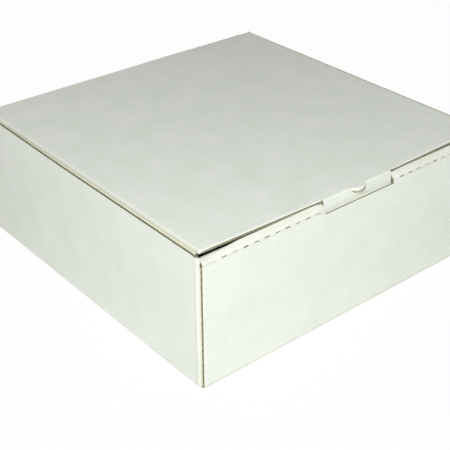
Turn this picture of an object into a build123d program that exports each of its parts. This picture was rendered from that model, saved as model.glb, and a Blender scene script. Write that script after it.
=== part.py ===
from build123d import *
import os
from math import radians, tan

# A cake box folded from one die-cut sheet of white-lined B-flute corrugated board.
# The tray has a bottom, a back wall, two single side walls with dust flaps at both ends, and a
# front wall that rolls over on two perforated creases and locks into the bottom. The lid hangs
# on the back wall by a crease. It has a flap along each side, a tuck tab that drops into a notch
# in the rolled front, and a finger tongue that stays flat when the tab is folded down.
# The frame is in millimetres with +Z up and the front at -Y. Its origin is the middle of the
# underside of the bottom panel.

# Board
board = 3.0                  # thickness of the B-flute board
crease_radius = 0.4          # inside radius that a crease leaves in a fold
fit_gap = 0.4                # clearance between panels folded against each other
overrun = 1.0                # how far each cutting shape runs past the board

# Tray
box_width = 316.0            # outside, left to right
box_depth = 312.0            # outside, front to back, without the finger tongue
lid_height = 115.5           # top of the closed lid
side_wall_drop = 2.5         # closed lid's top to the side walls' raw top edges
front_crease_drop = 6.5      # closed lid's top to the perforated crease on the front face
front_wall_depth = 10.1      # rolled front wall, outer face to inner face
roll_clearance = 0.3         # top of the rolled wall to the closed lid
panel_side_gap = 2.0         # front and back panels stop short of the side walls' outer faces

# Dust flaps at the ends of the side walls
dust_flap_length = 90.0      # from the side wall's outer face
dust_flap_drop = 9.0         # side wall's top edge to the flap's top edge
dust_flap_taper = 8.0        # cut-off corners at the free end

# Perforated creases
slit_pitch = 10.0
slit_length = 5.0
slit_width = 0.8
slit_start = 6.1             # side of the notch to the first slit
slit_end_margin = 4.0        # least distance from the last slit to the panel's side edge

# Notch in the rolled front, for the tab
notch_width = 75.0
notch_drop = 3.0             # perforated crease to the notch's lower edge

# Locking tabs on the foot of the inner front panel
lock_width = 30.0
lock_spacing = 158.0         # centre to centre
lock_recess = 0.3            # tab's end above the underside

# Lid
lid_inset = 5.6              # side wall's outer face to the lid flap's outer face
lid_setback = 5.4            # front face to the lid's raw front edge, beside the tab
lid_front_taper = 3.0        # how much further back that edge lies at the lid's corners
lid_rear_relief = 8.0        # back face to the rear end of the side folds
lid_flap_height = 40.0       # lid's top to the flap's lower edge
lid_flap_front = 11.5        # front face to the flap's front end, at its top
lid_flap_front_taper = 5.0   # how far the front end leans back at its foot
lid_flap_rear = 12.0         # back face to the flap's rear end, at its top
lid_flap_rear_taper = 14.0   # how far the rear end leans forward at its foot
lid_flap_corner = 8.0        # radius of the flap's lower corners

# Tuck tab and finger tongue
tab_width = 74.0
tab_setback = 3.75           # front face to the tab's outer face
tab_length = 18.5            # lid's top to the tab's tip
tab_corner = 6.0             # radius of the tab's lower corners
tongue_width = 15.2          # at its root
tongue_tip_width = 8.0
tongue_reach = 3.95          # beyond the tab's outer face
tongue_corner = 2.2          # radius of the tongue's front corners
tongue_hole_depth = 6.8      # lid's top to the lower edge of the hole that the tongue leaves

# Sizes that follow from the ones above
mid = board / 2
fold_mid = crease_radius + mid
fold_out = crease_radius + board
front_y = -box_depth / 2
back_y = box_depth / 2
panel_gap = board + fit_gap
side_height = lid_height - side_wall_drop
front_crease_height = lid_height - front_crease_drop
lid_under = lid_height - board
lid_mid = lid_height - mid
lid_width = box_width - 2 * lid_inset
bend = 45.0                  # degrees, four bends of the roll-over make half a turn
bend_rise = tan(radians(bend / 2))
flat_lower_edge = board + fit_gap


def strip_across(line, half_width):
    """A strip of board that follows a line in the Y-Z plane, as wide as twice half_width."""
    return extrude(Plane.YZ * trace(line, board), amount=half_width, both=True)


def block(x_range, y_range, z_range):
    """A rectangular solid between the given limits."""
    size = [high - low for low, high in (x_range, y_range, z_range)]
    centre = [(high + low) / 2 for low, high in (x_range, y_range, z_range)]
    return Pos(*centre) * Box(*size)


def outline_along(points, y_range):
    """A solid whose X-Z outline is given by points, between two Y places."""
    low, high = y_range
    face = Plane.XZ.offset(-high) * make_face(Polyline(*points, close=True))
    return extrude(face, amount=high - low)


def roll_points():
    """Middle line of the roll-over: half an octagon over the dust flaps, from inside to front."""
    outer = front_y + mid
    inner = front_y + front_wall_depth - mid
    spring = front_crease_height - mid * bend_rise
    top = lid_under - roll_clearance - mid
    rise = top - spring
    return [(inner, spring), (inner - rise, top), (outer + rise, top), (outer, spring)]


def hinge_start():
    """Where the fold of the lid's hinge starts at the top of the back wall."""
    return (back_y - mid, lid_height - fold_out)


def centre_strip():
    """Inner front panel, roll-over, front wall, bottom, back wall and half of the hinge fold."""
    inner_y = front_y + front_wall_depth - mid
    run = FilletPolyline(
        (inner_y, flat_lower_edge),
        *roll_points(),
        (front_y + mid, mid),
        (back_y - mid, mid),
        hinge_start(),
        radius=fold_mid,
    )
    half_fold = JernArc(hinge_start(), (0, 1), fold_mid, bend)
    strip = strip_across(Curve() + [run, half_fold], box_width / 2 - panel_side_gap)
    wall_zone = (front_y + panel_gap, back_y - panel_gap)
    for side in (-1, 1):
        x_range = sorted((side * box_width, side * (box_width / 2 - panel_gap)))
        strip -= block(x_range, wall_zone, (-overrun, lid_height + overrun))
    return strip


def side_shell():
    """Both side walls with their folds: a ring of board round the bottom panel."""
    length = box_depth - 2 * panel_gap
    middle = (0, 0, side_height / 2)
    outer = Pos(*middle) * Box(box_width, length, side_height)
    outer = fillet(outer.edges().filter_by(Axis.Z), fold_out)
    outer = fillet(outer.faces().sort_by(Axis.Z)[0].edges(), fold_out)
    hollow = Pos(0, 0, side_height / 2 + board) * Box(
        box_width - 2 * board, length - 2 * board, side_height
    )
    hollow = fillet(hollow.edges().filter_by(Axis.Z), crease_radius)
    return outer - hollow


def dust_flap(side, y_range):
    """One dust flap, a plate with its free corners cut off."""
    root = side * box_width / 2
    tip = side * (box_width / 2 - dust_flap_length)
    corner = tip + side * dust_flap_taper
    low, high = flat_lower_edge, side_height - dust_flap_drop
    points = [
        (root, low),
        (corner, low),
        (tip, low + dust_flap_taper),
        (tip, high - dust_flap_taper),
        (corner, high),
        (root, high),
    ]
    return outline_along(points, y_range)


def side_walls():
    """The side walls with the dust flaps at their ends, open between the flaps."""
    walls = side_shell()
    near = (front_y + panel_gap - overrun, front_y + panel_gap + fold_out)
    far = (back_y - panel_gap - fold_out, back_y - panel_gap + overrun)
    half = box_width / 2 - fold_out
    for y_range in (near, far):
        window = block((-half, half), y_range, (-overrun, side_height + overrun))
        window -= dust_flap(-1, y_range)
        window -= dust_flap(1, y_range)
        walls -= window
    return walls


def slit(x, place, turn):
    """One cut of a perforated crease: through the board at a place on its middle line."""
    y, z = place
    shape = Box(slit_length, board + 2 * overrun, slit_width)
    return Pos(x, y, z) * Rot(-turn, 0, 0) * shape


def perforations():
    """The slits of both creases, on each side of the notch."""
    first = notch_width / 2 + slit_start + slit_length / 2
    last = box_width / 2 - panel_side_gap - slit_end_margin - slit_length / 2
    count = int((last - first) // slit_pitch) + 1
    points = roll_points()
    outer_crease = (points[3], bend / 2)
    inner_crease = (points[1], 2 * bend + bend / 2)
    cuts = []
    for place, turn in (outer_crease, inner_crease):
        for number in range(count):
            x = first + number * slit_pitch
            cuts += [slit(x, place, turn), slit(-x, place, turn)]
    return cuts


def notch():
    """The opening for the tab, through the front panel and the top of the roll-over."""
    half = notch_width / 2
    floor = front_crease_height - notch_drop
    inner = front_y + front_wall_depth - board
    return block((-half, half), (front_y - overrun, inner), (floor, lid_under))


def lock_places():
    return (-lock_spacing / 2, lock_spacing / 2)


def lock_slot(x):
    """A slot in the bottom panel for a locking tab."""
    half = lock_width / 2 + fit_gap
    inner = front_y + front_wall_depth + fit_gap
    outer = front_y + front_wall_depth - board - fit_gap
    return block((x - half, x + half), (outer, inner), (-overrun, flat_lower_edge))


def lock_tab(x):
    """A locking tab on the foot of the inner front panel."""
    half = lock_width / 2
    inner = front_y + front_wall_depth
    return block((x - half, x + half), (inner - board, inner), (lock_recess, flat_lower_edge))


def tray():
    strip = centre_strip() - perforations() - notch()
    body = strip + side_walls()
    for x in lock_places():
        body = body - lock_slot(x) + lock_tab(x)
    return body


def lid_flap_outline():
    """Y-Z outline of a lid flap, with its lower corners rounded."""
    foot = lid_height - lid_flap_height
    front = front_y + lid_flap_front
    rear = back_y - lid_flap_rear
    corners = [
        (front, lid_height),
        (front + lid_flap_front_taper, foot),
        (rear - lid_flap_rear_taper, foot),
        (rear, lid_height),
    ]
    face = make_face(Polyline(*corners, close=True))
    lower = face.vertices().group_by(Axis.Y)[0]
    return fillet(lower, lid_flap_corner)


def front_edge_waste(side):
    """What the slanting cut takes off the lid's front edge, from the tab to one corner."""
    front = front_y + lid_setback
    slope = lid_front_taper / (lid_width / 2 - tab_width / 2)
    reach = slope * (box_width / 2 - tab_width / 2)
    points = [
        (side * tab_width / 2, front),
        (side * box_width / 2, front + reach),
        (side * box_width / 2, front - overrun),
        (side * tab_width / 2, front - overrun),
    ]
    face = make_face(Polyline(*points, close=True))
    low = lid_height - fold_out - overrun
    return extrude(Pos(0, 0, low) * face, amount=lid_height + overrun - low, dir=(0, 0, 1))


def lid_shell():
    """Top panel with a flap folded down along each side."""
    half = lid_width / 2 - mid
    foot = lid_height - lid_flap_height
    line = FilletPolyline(
        (-half, foot), (-half, lid_mid), (half, lid_mid), (half, foot), radius=fold_mid
    )
    front = front_y + lid_setback
    rear = back_y - lid_rear_relief
    shell = extrude(Plane.XZ.offset(-rear) * trace(line, board), amount=rear - front)
    keep = extrude(Plane.YZ * lid_flap_outline(), amount=box_width, both=True)
    span = (front - overrun, rear + overrun)
    waste = block((-box_width, box_width), span, (foot - overrun, lid_under))
    return shell - (waste - keep) - front_edge_waste(-1) - front_edge_waste(1)


def lid_rear():
    """The lid's strip along the hinge, with the other half of the fold."""
    wall_half = JernArc(hinge_start(), (0, 1), fold_mid, bend)
    half_fold = JernArc(wall_half @ 1, wall_half % 1, fold_mid, bend)
    flat = Line(half_fold @ 1, (back_y - lid_rear_relief - board, lid_mid))
    return strip_across(Curve() + [half_fold, flat], lid_width / 2)


def tongue_outline(width, tip_width, root, tip):
    """Outline of the finger tongue, on the lid's plane, with its front corners rounded."""
    crease = front_y + tab_setback
    corners = [
        (-width / 2, root),
        (-width / 2, crease),
        (-tip_width / 2, tip),
        (tip_width / 2, tip),
        (width / 2, crease),
        (width / 2, root),
    ]
    face = make_face(Polyline(*corners, close=True))
    front = face.vertices().group_by(Axis.Y)[0]
    return fillet(front, tongue_corner)


def tongue():
    """The finger tongue, in the plane of the lid."""
    root = front_y + tab_setback + fold_out
    outline = tongue_outline(
        tongue_width, tongue_tip_width, root, front_y + tab_setback - tongue_reach
    )
    return extrude(Pos(0, 0, lid_under) * outline, amount=board)


def tongue_hole():
    """What the tongue leaves open in the fold of the tab and below it."""
    half = tongue_width / 2 + fit_gap
    tip_half = tongue_tip_width / 2 + fit_gap
    lip = lid_height - fold_out
    foot = lid_height - tongue_hole_depth
    points = [
        (-half, lid_height + overrun),
        (-half, lip),
        (-tip_half, foot),
        (tip_half, foot),
        (half, lip),
        (half, lid_height + overrun),
    ]
    face_y = front_y + tab_setback
    return outline_along(points, (face_y - overrun, face_y + fold_out))


def tuck_tab():
    """The tab folded down from the lid's front edge, with the tongue left in the lid's plane."""
    tab_mid = front_y + tab_setback + mid
    root = front_y + tab_setback + fold_out
    tip = lid_height - tab_length
    line = FilletPolyline(
        (root + overrun, lid_mid), (tab_mid, lid_mid), (tab_mid, tip), radius=fold_mid
    )
    tab = strip_across(line, tab_width / 2)
    corners = tab.edges().filter_by(Axis.Y).group_by(Axis.Z)[0]
    return fillet(corners, tab_corner) - tongue_hole() + tongue()


def lid():
    half = tab_width / 2
    root = front_y + tab_setback + fold_out
    clear = block((-half, half), (front_y, root), (lid_under - overrun, lid_height + overrun))
    return lid_shell() + lid_rear() - clear + tuck_tab()


os.makedirs("parts", exist_ok=True)
for name, shape in (("tray", tray()), ("lid", lid())):
    solids = shape.solids()
    print(name, len(solids), "solid", round(shape.volume), "mm3", shape.is_valid)
    export_step(shape, f"parts/{name}.step")
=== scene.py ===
from math import ceil, pi, radians

import bpy
import numpy as np
from bpy.props import FloatProperty, FloatVectorProperty, IntProperty, PointerProperty
from mathutils import Matrix, Vector


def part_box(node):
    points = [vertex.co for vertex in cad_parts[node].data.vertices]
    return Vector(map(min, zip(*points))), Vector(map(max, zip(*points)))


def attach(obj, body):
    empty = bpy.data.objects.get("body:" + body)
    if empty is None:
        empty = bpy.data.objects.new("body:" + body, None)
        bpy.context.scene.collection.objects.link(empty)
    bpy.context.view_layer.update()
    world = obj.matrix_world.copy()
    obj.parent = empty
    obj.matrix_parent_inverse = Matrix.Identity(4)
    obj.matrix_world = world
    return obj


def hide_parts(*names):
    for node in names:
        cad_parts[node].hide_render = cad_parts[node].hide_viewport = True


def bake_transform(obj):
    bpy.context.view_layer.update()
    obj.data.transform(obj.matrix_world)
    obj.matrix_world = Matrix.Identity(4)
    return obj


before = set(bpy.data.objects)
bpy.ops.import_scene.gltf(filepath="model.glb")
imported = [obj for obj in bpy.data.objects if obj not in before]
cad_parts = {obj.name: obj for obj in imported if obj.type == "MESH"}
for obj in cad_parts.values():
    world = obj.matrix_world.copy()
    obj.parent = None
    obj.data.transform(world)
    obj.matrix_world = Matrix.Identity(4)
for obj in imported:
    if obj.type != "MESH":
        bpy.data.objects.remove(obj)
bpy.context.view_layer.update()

# A cake box folded from one die-cut sheet of white-lined B-flute board. The CAD solids hold its
# form, and this add-on builds the board itself: an outer liner, an inner liner and the fluting
# between them, folded along the same lines as the solids. Everything is in metres.

bl_info = {
    "name": "Cake Box",
    "version": (1, 0, 0),
    "blender": (4, 5, 0),
    "location": "View3D > Sidebar > Cake Box",
    "description": "Builds a folded cake box out of the three plies of its corrugated board",
    "category": "Add Mesh",
}

TRAY_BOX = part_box("tray")
LID_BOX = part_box("lid")

# How finely the board is drawn.
WELD = 1e-6  # points closer than this are one
LINE_DIGITS = 7  # grid lines that agree to so many digits are one
BEND_STEP = 0.0003  # spacing of grid lines round a bend
BROAD_STEP = 0.02  # the same along the flutes of the tray
CREASE_STEP = 0.01  # the same along the hinge crease
LID_STEP = 0.012  # the same along the flutes of the lid's top
FLAP_STEP = 0.008  # the same in its flaps and its tab
TONGUE_STEP = 0.0019  # the same in its tongue
TONGUE_ROW_STEP = 0.0008  # spacing of the tongue's grid lines from root to tip
ROWS_IN_FLUTE = 5
EDGE_LINES = 6  # grid lines where a liner rounds over at a raw edge
PINCH_LINES = 4  # grid lines beside a fold
SLIT_SHARES = 0, 0.2, 0.8, 1  # grid lines along a slit
SHARP_ANGLE = radians(40)  # shading is smooth over a smaller turn

# How much of the crease colour, a painted shade, the liners' paper shows where it is folded.
FOLD_PAINTED_SHADE = 0.2
FRONT_PAINTED_SHADE = 0.4
CORNER_PAINTED_SHADE = 0.5
TONGUE_PAINTED_SHADE = 0.6
SIDE_PAINTED_SHADE_END = 0.003, 0.008  # from the lid's side fold to where its painted shade starts and ends fading

# Where the board's small settling shows. The places are in metres.
DENT_WAVES = 5
LONGEST_DENTS, SHORTEST_DENTS = 18, 60  # waves per 2 pi metres
LEFT_LEAN_START, RIGHT_LEAN_START = -0.02, 0.1  # from the middle towards each side wall
ROLL_FADE = 0.02  # run over which the rolled wall comes to its full bulge
ROLL_FOOT = 0.008  # side wall's top to where the rolled wall has its full shape
LID_PRESS = -0.0004, 0.0014  # past the lid's front edge, where it holds the bulge down
SQUARE_SHARES = -0.3, 0.5, 1.3  # start, middle and end of the squarer slope, as shares of it
FLAP_RAMP = 0.002  # width beside the lid's side fold over which the flap's spring starts
TAB_RAMP = 0.004  # the same beside the tab's lean

# The papers' patterns.
CLOUD_SIZE = 0.03
FIBRE_SIZE = 0.0016  # real fibres are finer than a pixel, so they are drawn this coarse
FIBRE_STRETCH = 0.35, 1, 1  # fibres lie mostly along the flutes
FIBRE_MARKS = 0.5  # how strongly the fibres show against the clouds
FLUTE_LINES = 0.14  # the same for the flutes' lines
CUT_PATCH = 0.002
FLUTE_PATCH = 0.004
CUT_TONES = 0.8, 1.12  # darkest and lightest patch, as shares of the paper's own colour
WAVE_RATE = 20  # turns of the wave texture's phase per unit of its scale

# The key lamp is high at the front left, so the light falls off towards the far corner. The rear
# lamp is lower than the lid, so it lights only the back and the right side.
KEY_LAMP_PLACE = -0.78, -0.89, 1.03
REAR_LAMP_PLACE = 1.1, 1.35, 0.055
FLOOR_DROP = 0.0002  # keeps the floor clear of the box's underside
FLOOR_WHITE = 0.97  # how far the floor is plain white to the camera
WHITE = 1, 1, 1, 1


def linear(hex_colour):
    """An sRGB hex colour as the linear values that Blender works in."""
    shares = [int(hex_colour[place:place + 2], 16) / 255 for place in (0, 2, 4)]
    return tuple(c / 12.92 if c <= 0.04045 else ((c + 0.055) / 1.055) ** 2.4 for c in shares)


def length(name, description, default):
    return FloatProperty(
        name=name, description=description, default=default, min=0, precision=5, unit="LENGTH"
    )


def factor(name, description, default):
    return FloatProperty(
        name=name, description=description, default=default, min=0, max=1, subtype="FACTOR"
    )


def watts(name, description, default):
    return FloatProperty(name=name, description=description, default=default, min=0, unit="POWER")


def colour(name, description, hex_colour):
    return FloatVectorProperty(
        name=name, description=description, default=linear(hex_colour), min=0, max=1,
        subtype="COLOR",
    )


class BoardSizes(bpy.types.PropertyGroup):
    thickness: length("Thickness", "Outer face to inner face of the board", 0.003)
    liner: length("Liner", "Thickness of each liner", 0.0003)
    medium: length("Medium", "Thickness of the fluting's paper", 0.00022)
    flute_pitch: length("Flute pitch", "Crest to crest of the fluting", 0.0062)
    crease_radius: length("Crease radius", "Inside radius of a fold", 0.0004)
    crease_pinch: length("Crease pinch", "How much thinner the board is in a fold", 0.001)
    pinch_reach: length("Pinch reach", "How far that shows beside the fold", 0.002)
    fit_gap: length("Fit gap", "Clearance between panels folded against each other", 0.0004)
    washboard: length("Washboard", "How far a liner sinks between two crests", 0.00003)
    dent: length("Dent", "Depth of the board's long shallow hollows", 0.00025)
    cut_crush: length("Cut crush", "How far the knife presses a liner in at a raw edge", 0.0003)
    crush_reach: length("Crush reach", "How far that shows from the edge", 0.0015)
    hard_crush: length("Hard crush", "The same at the lid's front edge", 0.0007)
    hard_reach: length("Hard reach", "How far that shows from the edge", 0.0012)
    lip_crush: length("Lip crush", "How far the inner liner folds over at a hard-cut edge", 0.0011)
    lip_reach: length("Lip reach", "How far that shows from the edge", 0.003)
    dent_seed: IntProperty(name="Dent seed", description="Which hollows the board has", default=7)


class TraySizes(bpy.types.PropertyGroup):
    width: length("Width", "Outside, left to right", TRAY_BOX[1].x - TRAY_BOX[0].x)
    depth: length("Depth", "Outside, front to back", TRAY_BOX[1].y - TRAY_BOX[0].y)
    side_height: length("Side height", "Raw top edge of the side walls", TRAY_BOX[1].z)
    right_drop: length("Right drop", "How much lower the right wall's top edge lies", 0.0017)
    front_crease_drop: length("Front crease drop", "Closed lid's top to the front crease", 0.0065)
    front_wall_depth: length("Front wall depth", "Rolled front wall, outside to inside", 0.0101)
    roll_clearance: length("Roll clearance", "Top of the rolled wall to the lid", 0.0003)
    panel_side_gap: length("Panel side gap", "Front and back panels to the sides' faces", 0.0025)
    dust_flap_length: length("Dust flap length", "From the side wall's outer face", 0.09)
    dust_flap_drop: length("Dust flap drop", "Side wall's top to the flap's top", 0.009)
    dust_flap_taper: length("Dust flap taper", "Cut-off corners at the free end", 0.008)
    slit_pitch: length("Slit pitch", "Spacing of the perforated creases' slits", 0.01)
    slit_length: length("Slit length", "Length of each slit", 0.005)
    slit_width: length("Slit width", "Opening in the middle of a slit", 0.0006)
    slit_closing: factor("Slit closing", "How far the tightest slits have closed", 0.6)
    slit_end_closing: factor("Slit end closing", "The same of the slit at each end of a row", 0.85)
    slit_taper: factor("Slit taper", "How much narrower a slit is at its ends", 0.6)
    slit_seed: IntProperty(name="Slit seed", description="Which slits have closed", default=4)
    slit_start: length("Slit start", "Side of the notch to the first slit", 0.0061)
    slit_end_margin: length("Slit end margin", "Last slit to the panel's side edge", 0.004)
    notch_width: length("Notch width", "Opening for the tuck tab", 0.075)
    notch_drop: length("Notch drop", "Front crease to the notch's lower edge", 0.0037)
    lock_width: length("Lock width", "Locking tab on the foot of the inner panel", 0.03)
    lock_spacing: length("Lock spacing", "Locking tabs, centre to centre", 0.158)
    lock_recess: length("Lock recess", "Locking tab's end above the underside", 0.0003)
    wall_lean: length("Wall lean", "How far the walls lean in, the left one at its back", 0.0016)
    roll_bulge: length("Roll bulge", "How far the rolled wall swells up in front of the lid", 0.0007)
    roll_ridge: length("Roll ridge", "Front face to the highest line of the rolled wall", 0.0061)
    roll_end_ridge: length("Roll end ridge", "The same at its ends", 0.0047)
    roll_sag: length("Roll sag", "How far its front slope lies below an even arch", 0.0008)
    roll_fall: length("Roll fall", "How far its back slope lies below an even arch", 0.0005)
    roll_square: length("Roll square", "How much squarer the rolled wall is at its ends", 0.0015)
    roll_square_reach: length("Roll square reach", "How far along the wall that shows", 0.012)
    roll_bulge_start: length("Roll bulge start", "From each end to where that starts", 0.02)


class LidSizes(bpy.types.PropertyGroup):
    height: length("Height", "Top of the closed lid", LID_BOX[1].z)
    width: length("Width", "Outside, left to right", LID_BOX[1].x - LID_BOX[0].x)
    setback: length("Setback", "Front face to the lid's raw front edge, by the tab", 0.0054)
    front_taper: length("Front taper", "How much further back that edge is at a corner", 0.003)
    corner_crush: length("Corner crush", "How far the outer liner folds over at that corner", 0.0013)
    rear_relief: length("Rear relief", "Back face to the rear end of the side folds", 0.008)
    flap_height: length("Flap height", "Lid's top to the flap's lower edge", 0.04)
    flap_front: length("Flap front", "Front face to the flap's front end", 0.0115)
    flap_front_taper: length("Flap front taper", "How far the front end leans back", 0.005)
    flap_rear: length("Flap rear", "Back face to the flap's rear end", 0.012)
    flap_rear_taper: length("Flap rear taper", "How far the rear end leans forward", 0.014)
    flap_corner: length("Flap corner", "Radius of the flap's lower corners", 0.008)
    tab_width: length("Tab width", "Width of the tuck tab", 0.074)
    tab_setback: length("Tab setback", "Front face to the tab's outer face", 0.00375)
    tab_length: length("Tab length", "Lid's top to the tab's tip", 0.0185)
    tab_corner: length("Tab corner", "Radius of the tab's lower corners", 0.006)
    tongue_width: length("Tongue width", "Finger tongue at its root", 0.0152)
    tongue_tip_width: length("Tongue tip width", "Finger tongue at its tip", 0.008)
    tongue_reach: length("Tongue reach", "How far the tongue passes the tab's face", 0.00395)
    tongue_corner: length("Tongue corner", "Radius of the tongue's front corners", 0.0022)
    tongue_crush: length("Tongue crush", "How far the outer liner wraps down its edge", 0.002)
    tongue_wrap: length("Tongue wrap", "How far that shows from the edge", 0.0009)
    tongue_clean: factor("Tongue clean", "How much cleaner its right side is cut", 0.7)
    tongue_gap: length("Tongue gap", "Knife's cut between tongue and tab", 0.00015)
    tongue_hole_depth: length("Tongue hole depth", "Lid's top to the hole's lower edge", 0.0052)
    tab_lean: length("Tab lean", "How far the tab presses out to the front wall", 0.0005)
    flap_spring: length("Flap spring", "How far the side flaps press out to the walls", 0.0019)
    flap_bow: length("Flap bow", "Height over which they curve out", 0.003)


class BoardColours(bpy.types.PropertyGroup):
    outer_liner: colour("Outer liner", "White coated paper on the outside", "ECF0E8")
    outer_shade: colour("Outer shade", "The same paper where it is thin over the flutes", "E0E6DA")
    inner_liner: colour("Inner liner", "Uncoated white paper on the inside", "EDEBDC")
    inner_shade: colour("Inner shade", "The same paper where it is thin over the flutes", "E0DDCB")
    # The crease colour is painted shade, multiplied into the liners where they are folded.
    crease: colour("Crease", "What the liners' colours are multiplied by in a crease", "EBE6DD")
    core: colour("Core", "Cut edges and glued sides of the liners", "BDBA9E")
    medium: colour("Medium", "Recycled paper of the fluting", "8F8B6C")


class StudioSettings(bpy.types.PropertyGroup):
    floor_size: length("Floor size", "Side of the floor", 12.0)
    lamp_size: length("Lamp size", "Side of the square lamp", 0.5)
    lamp_power: watts("Lamp power", "Power of the lamp", 24.7)
    rear_size: length("Rear lamp size", "Side of the square rear lamp", 0.1)
    rear_power: watts("Rear lamp power", "Power of the lamp behind", 14)
    fill: FloatProperty(
        name="Fill", description="Strength of the even light all round", default=0.045, min=0
    )
    floor: colour("Floor", "White sweep that the box stands on", "E9E9E7")


class FoldLine:
    """Middle line of the folded board as its creases are seen end on: runs joined by bends."""

    def __init__(self, corners, radius, start=0.0):
        corners = np.array(corners)
        legs = np.diff(corners, axis=0)
        headings = np.unwrap(np.arctan2(legs[:, 1], legs[:, 0]))
        turns = np.diff(headings)
        cut = radius * np.tan(np.abs(turns) / 2)
        runs = np.hypot(*legs.T) - np.append(0, cut) - np.append(cut, 0)
        count = 2 * len(turns) + 1
        lengths = np.zeros(count)
        lengths[::2] = runs
        lengths[1::2] = radius * np.abs(turns)
        self.rates = np.zeros(count)
        self.rates[1::2] = np.sign(turns) / radius
        self.starts = start + np.append(0, np.cumsum(lengths)[:-1])
        self.end = start + lengths.sum()
        self.headings = np.repeat(headings, 2)[:count]
        self.origins = np.zeros((count, 2))
        self.origins[0] = corners[0]
        for part in range(1, count):
            self.origins[part] = self.at(np.array(self.starts[part]), 0, part - 1)

    def part_at(self, place):
        return np.clip(np.searchsorted(self.starts, place, "right") - 1, 0, len(self.rates) - 1)

    def at(self, place, out, part=None):
        """Points at distances along the line and out from it, to the right of its heading."""
        part = self.part_at(place) if part is None else part
        run = place - self.starts[part]
        turn = self.rates[part] * run
        chord = run * np.sinc(turn / (2 * pi))
        aim = self.headings[part] + turn / 2
        heading = self.headings[part] + turn
        first = self.origins[part, ..., 0] + chord * np.cos(aim) + out * np.sin(heading)
        second = self.origins[part, ..., 1] + chord * np.sin(aim) - out * np.cos(heading)
        return first, second

    def bend(self, number):
        """Start and end of a bend."""
        return self.starts[2 * number + 1], self.starts[2 * number + 2]

    def middle(self, number):
        return sum(self.bend(number)) / 2

    def from_bends(self, place):
        """Distance along the line to its nearest bend."""
        bends = [self.bend(number) for number in range(len(self.rates) // 2)]
        beyond = [np.maximum(low - place, place - high) for low, high in bends]
        return np.clip(np.min(beyond, axis=0), 0, None)

    def lines(self, low, high, step, breaks=()):
        """Grid lines along the line, which fall on its bends' ends and on each break."""
        ends = ends_between(low, high, [*self.starts, *breaks])
        in_bend = self.rates[self.part_at((ends[1:] + ends[:-1]) / 2)] != 0
        return divide(ends, np.where(in_bend, BEND_STEP, step))


def divide(ends, steps):
    """Even grid lines between each two ends, no further apart than that stretch's step."""
    made = []
    for low, high, step in zip(ends, ends[1:], np.broadcast_to(steps, len(ends) - 1)):
        made.extend(np.linspace(low, high, ceil((high - low) / step - WELD), endpoint=False))
    return np.array([*made, ends[-1]])


def distinct(places):
    return np.unique(np.round(places, LINE_DIGITS))


def ends_between(low, high, breaks):
    ends = distinct([low, high, *breaks])
    return ends[(ends > low - WELD) & (ends < high + WELD)]


def even_lines(low, high, step, breaks):
    return divide(ends_between(low, high, breaks), step)


def towards_edge(reach):
    """Distances from a raw edge, closest together where the liner rounds over."""
    return reach * (1 - np.cos(np.linspace(0, pi / 2, EDGE_LINES)))


def mirrored(places):
    """The places right of the middle, and the same left of it."""
    return np.concatenate([places, -np.asarray(places)])


def rounded_over(distance, reach):
    """1 at a raw edge, falling in a quarter round to 0 at reach."""
    left = np.clip(1 - distance / reach, 0, 1)
    return 1 - np.sqrt(1 - left**2)


def corner_cut(distance, radius):
    """How far a rounded corner's side stands in at a distance from the end that it meets."""
    left = np.clip(radius - distance, 0, radius)
    return radius - np.sqrt(radius**2 - left**2)


def smooth(low, high, value):
    """0 below low, 1 above high and a smooth rise between."""
    share = np.clip((value - low) / (high - low), 0, 1)
    return share * share * (3 - 2 * share)


class Panel:
    """A grid over part of the sheet. Its first direction runs along the flutes, its second across."""

    def __init__(self, place, along, across):
        self.place = place
        self.along, self.across = np.meshgrid(along, across)
        self.blank = (self.along, self.across)
        centres = [(lines[1:] + lines[:-1]) / 2 for lines in (along, across)]
        self.cell_along, self.cell_across = np.meshgrid(*centres)
        self.keep = np.ones(self.cell_along.shape, bool)
        self.outer_crush, self.inner_crush, self.painted_shade = np.zeros((3, *self.along.shape))

    def crush(self, distance, outer, inner, reach):
        """Presses the liners in near a raw edge, given each point's distance from it."""
        fall = rounded_over(distance, reach)
        self.outer_crush = np.maximum(self.outer_crush, outer * fall)
        self.inner_crush = np.maximum(self.inner_crush, inner * fall)

    def cut(self, distance, board):
        """Presses both liners in near a plain cut edge."""
        self.crush(distance, board.cut_crush, board.cut_crush, board.crush_reach)

    def pinch(self, distance, board, painted_shade=FOLD_PAINTED_SHADE):
        """Presses the inner liner in at a fold and paints shade on its paper there, given each
        point's distance from the bend."""
        fade = 1 - smooth(0, board.pinch_reach, distance)
        self.inner_crush = np.maximum(self.inner_crush, board.crease_pinch * fade)
        self.painted_shade = np.maximum(self.painted_shade, painted_shade * fade)


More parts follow.
